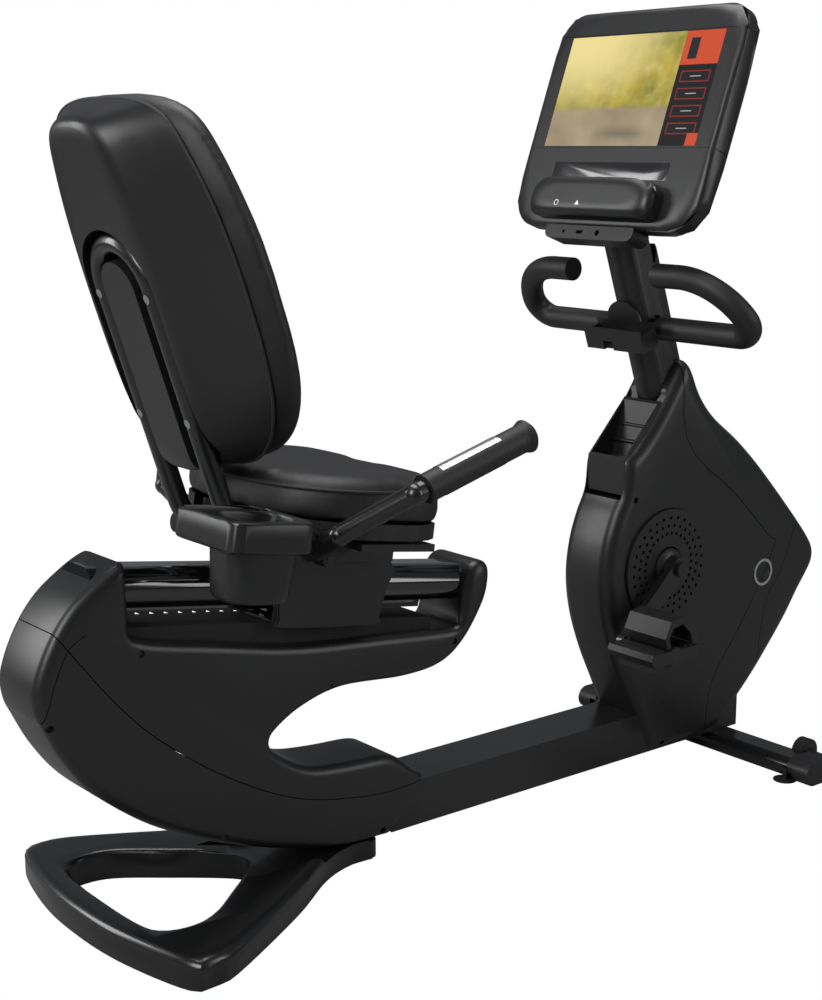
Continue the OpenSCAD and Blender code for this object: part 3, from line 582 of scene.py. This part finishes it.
shell_rings = ((-15.5, 0.10, 0.5), (-15.8, 0.24, 0.86), (-15, 0.32, 0.925), (-12.5, 0.38, 0.945),
    (-9, 0.42, 0.957), (-3, 0.455, 0.966), (4, 0.49, 0.972), (16, 0.58, 0.98), (28, 0.67, 0.986),
    (40, 0.775, 0.993), (47, 0.84, 0.997), (50, 0.865, 0.999), (50.2, 0.84, 0.98))
shell = loft("back_shell_smooth", [back_ring(*k) for k in shell_rings], 28)
arch_middle = (0, 101)
arch = arc(arch_middle, 88, 0, 180, 30) + [(-88, -230), (-42, -230)]
arch += arc(arch_middle, 42, 180, 0, 20) + [(42, -230), (88, -230)]
carve(shell, [plate("arch", arch, -60, 15.3, back)], 28)
piece(shell, "seat_carriage", "satin_black", ["back_shell"])


# ---- padded parts ----
def swell(o, limit):
    """A short cloth run under pressure, each point kept within the limit of where it was."""
    me = o.data
    start = np.zeros(len(me.vertices) * 3)
    me.vertices.foreach_get("co", start)
    c = o.modifiers.new("cloth", "CLOTH")
    c.settings.use_pressure = True
    c.settings.uniform_pressure_force = 4
    c.settings.effector_weights.gravity = 0
    c.settings.tension_stiffness = 30
    c.settings.compression_stiffness = 30
    c.point_cache.frame_start = 1
    c.point_cache.frame_end = CLOTH_FRAMES
    for f in range(1, CLOTH_FRAMES + 1):
        bpy.context.scene.frame_set(f)
    end = np.zeros(len(start))
    shown = o.evaluated_get(bpy.context.evaluated_depsgraph_get())
    shown.data.vertices.foreach_get("co", end)
    o.modifiers.clear()
    bpy.context.scene.frame_set(1)
    move = (end - start).reshape(-1, 3)
    size = np.maximum(np.linalg.norm(move, axis=1), 1e-9)
    move *= np.minimum(1, limit / size)[:, None]
    me.vertices.foreach_set("co", start + move.ravel())


def padding(o, body, node, limit):
    """Makes a padded cover out of a plain closed shape."""
    m = o.modifiers.new("remesh", "REMESH")
    m.mode = "VOXEL"
    m.voxel_size = VOXEL
    bake(o)
    swell(o, limit)
    even_out = o.modifiers.new("even", "SMOOTH")
    even_out.factor = 0.5
    even_out.iterations = 8
    finer = o.modifiers.new("finer", "SUBSURF")
    finer.levels = 1
    finer.render_levels = 1
    bake(o)
    fix(o, 80)
    piece(o, body, "fabric", [node])


pad_rings = ((50.6, 0.84, 0.98), (51, 0.868, 0.995), (62, 0.93, 1), (72, 0.985, 1), (80, 0.985, 0.995),
    (90, 0.955, 0.98), (97, 0.9, 0.95), (101, 0.8, 0.88), (102, 0.5, 0.6))
pad = loft("back_pad_cover", [back_ring(*k) for k in pad_rings])
padding(pad, "seat_carriage", "back_pad", 0.003)
piping = tube("back_piping", back_ring(50.4, 0.872, 0.998), 0.0022)
piece(piping, "seat_carriage", "fabric", look="thread")


def seat_line(w, a, b):
    """The cushion's outline from above: w wide, from x = a to x = b."""
    half = [[a + 9, w * 0.2], [a + 32, w * 0.34], [a + 76, w * 0.44], [a + 130, w * 0.49], [20, w / 2],
        [b - 70, w * 0.5], [b - 22, w * 0.44], [b - 3, w * 0.25]]
    return smooth([[a, 0]] + half + [[b - 6, 0]] + [[x, -y] for x, y in half[::-1]], 5)


seat_out = seat_line(410, -165, 135)


def seat_ring(f, d):
    """The cushion's outline drawn in by d, at the share f of its height, which rises forwards."""
    out = []
    for x, y in inset(seat_out, d):
        out.append(rail(x, y, 121.8 + f * (58 + 11 * (x + 165) / 300)))
    return out


cushion_rings = ((0.01, 12), (0.01, 4), (0.12, 1), (0.3, 0), (0.6, 1), (0.76, 4), (0.88, 9), (0.96, 16),
    (1.0, 26), (0.99, 60), (0.93, 110))
cushion = loft("seat_cushion_cover", [seat_ring(*k) for k in cushion_rings])
padding(cushion, "seat_carriage", "seat_cushion", 0.004)
piping = tube("seat_piping", seat_ring(0.74, 2.4), 0.0024)
piece(piping, "seat_carriage", "fabric", look="thread")

# ---- console ----
case_line = round_box(434, -244, 147, 52, 62)
case_levels = ((0, 14), (0, 9), (1.2, 5.5), (3.4, 2.6), (6, 0.9), (9, 0), (30, 0), (38, 1.5), (46, 6),
    (56, 15), (65, 28), (71, 38), (75, 46), (75.2, 60))
case = stack("console_case", case_line, case_levels, on_face)


def upright_box(y, low, high):
    return np.array([(-y, low), (y, low), (y, high), (-y, high)])


display = plate("window", round_box(DISPLAY_W + 0.8, -99.7, 99.7, 2, 2, 3), -4, 5.2)
grooves = [plate("line", upright_box(230, z - 0.6, z + 0.6), -3, 41) for z in (101.5, -102.5)]
grooves.append(plate("line", upright_box(230, -300, 300), 40, 41.2))
for groove in grooves:
    take_away(groove, plate("core", inset(case_line, 2.2), 1.4, 60))
carve(case, [display] + grooves)
piece(case, "frame", "satin_black", ["console_front_shell", "console_rear_shell"])
tray_line = round_box(284, -232, -162, 34, 18)
tray_levels = ((0.2, 0), (-20, 0), (-27, 1), (-33, 4), (-36.5, 8), (-38, 13), (-38, 20))
tray = stack("console_tray_smooth", tray_line, tray_levels, on_face)
carve(tray, [plate("dish", round_box(262, -220, -150, 26, 14), -33, 4)])
piece(tray, "frame", "satin_black", ["console_tray"])
label = plate("label_strip", round_box(270, -159, -129, 3, 3), -0.5, 0.4, d=0.2)
piece(label, "frame", "satin_black", look="gloss_black")
mark = arc((65, -214), 4.6, 0, 360, 24)[:-1]
ring = tube("tray_mark_ring", [face(-38.2, *p) for p in mark], 0.0007)
piece(ring, "frame", "satin_black", look="print_white")
arrow = plate("tray_mark_arrow", np.array([(15, -209), (20, -217), (10, -217)]), -38.6, -37.9)
piece(arrow, "frame", "satin_black", look="print_white")

# ---- studio ----
def camera_split(tree, lit, seen, surface):
    """Uses one shader for light on the object and another where the camera looks straight at it."""
    split = tree.nodes.new("ShaderNodeMixShader")
    ray = tree.nodes.new("ShaderNodeLightPath")
    tree.links.new(ray.outputs["Is Camera Ray"], split.inputs[0])
    tree.links.new(lit.outputs[0], split.inputs[1])
    tree.links.new(seen.outputs[0], split.inputs[2])
    tree.links.new(split.outputs[0], surface)


def floor_material():
    m = bpy.data.materials.new("pale_floor")
    m.use_nodes = True
    tree = m.node_tree
    tree.nodes.clear()
    lit = tree.nodes.new("ShaderNodeBsdfDiffuse")
    lit.inputs["Color"].default_value = (0.3, 0.3, 0.3, 1)
    seen = tree.nodes.new("ShaderNodeEmission")
    camera_split(tree, lit, seen, tree.nodes.new("ShaderNodeOutputMaterial").inputs["Surface"])
    return m


def floor(reach=12):
    me = bpy.data.meshes.new("floor")
    corners = [(x * reach, y * reach, 0) for x, y in ((-1, -1), (1, -1), (1, 1), (-1, 1))]
    me.from_pydata(corners, [], [(0, 1, 2, 3)])
    o = bpy.data.objects.new("floor", me)
    bpy.context.scene.collection.objects.link(o)
    o.data.materials.append(floor_material())


def studio_world():
    w = bpy.data.worlds.new("studio")
    w.use_nodes = True
    tree = w.node_tree
    lit = tree.nodes["Background"]
    lit.inputs["Color"].default_value = (0.9, 0.93, 1.0, 1)
    lit.inputs["Strength"].default_value = 0.16
    seen = tree.nodes.new("ShaderNodeBackground")
    seen.inputs["Color"].default_value = (1, 1, 1, 1)
    camera_split(tree, lit, seen, tree.nodes["World Output"].inputs["Surface"])
    return w


floor()
bpy.context.scene.world = studio_world()


def softbox(name, at, to, width, height, power):
    d = bpy.data.lights.new(name, "AREA")
    d.energy = power
    d.shape = "RECTANGLE"
    d.size = width
    d.size_y = height
    o = bpy.data.objects.new(name, d)
    o.location = at
    o.rotation_euler = (Vector(to) - Vector(at)).to_track_quat("-Z", "Y").to_euler()
    bpy.context.scene.collection.objects.link(o)


softbox("key", (-3.4, -1.2, 2.6), (0, 0, 0.6), 1.5, 2.2, 95)
softbox("side", (2.2, -3.2, 1.7), (0.2, 0, 0.5), 1.2, 2.4, 34)
softbox("top", (0.0, 0.3, 3.6), (0, 0, 0.5), 1.6, 2.6, 80)
softbox("rim", (-2.8, 2.6, 1.9), (-0.2, 0, 0.6), 1.2, 2.0, 60)

cam = bpy.data.objects.new("camera", bpy.data.cameras.new("camera"))
bpy.context.scene.collection.objects.link(cam)
bpy.context.scene.camera = cam
cam.data.sensor_width = 36
cam.data.lens = 61.26
az = math.radians(-38.89)
el = math.radians(11.75)
behind = Vector((math.sin(az) * math.cos(el), -math.cos(az) * math.cos(el), math.sin(el)))
cam.location = (-1.696 - X0 / 1000, -2.078, 1.123)
cam.rotation_mode = "QUATERNION"
cam.rotation_quaternion = (-behind).to_track_quat("-Z", "Y")
cam.data.clip_start = 0.05
cam.data.clip_end = 60
bpy.context.scene.view_settings.view_transform = "Standard"
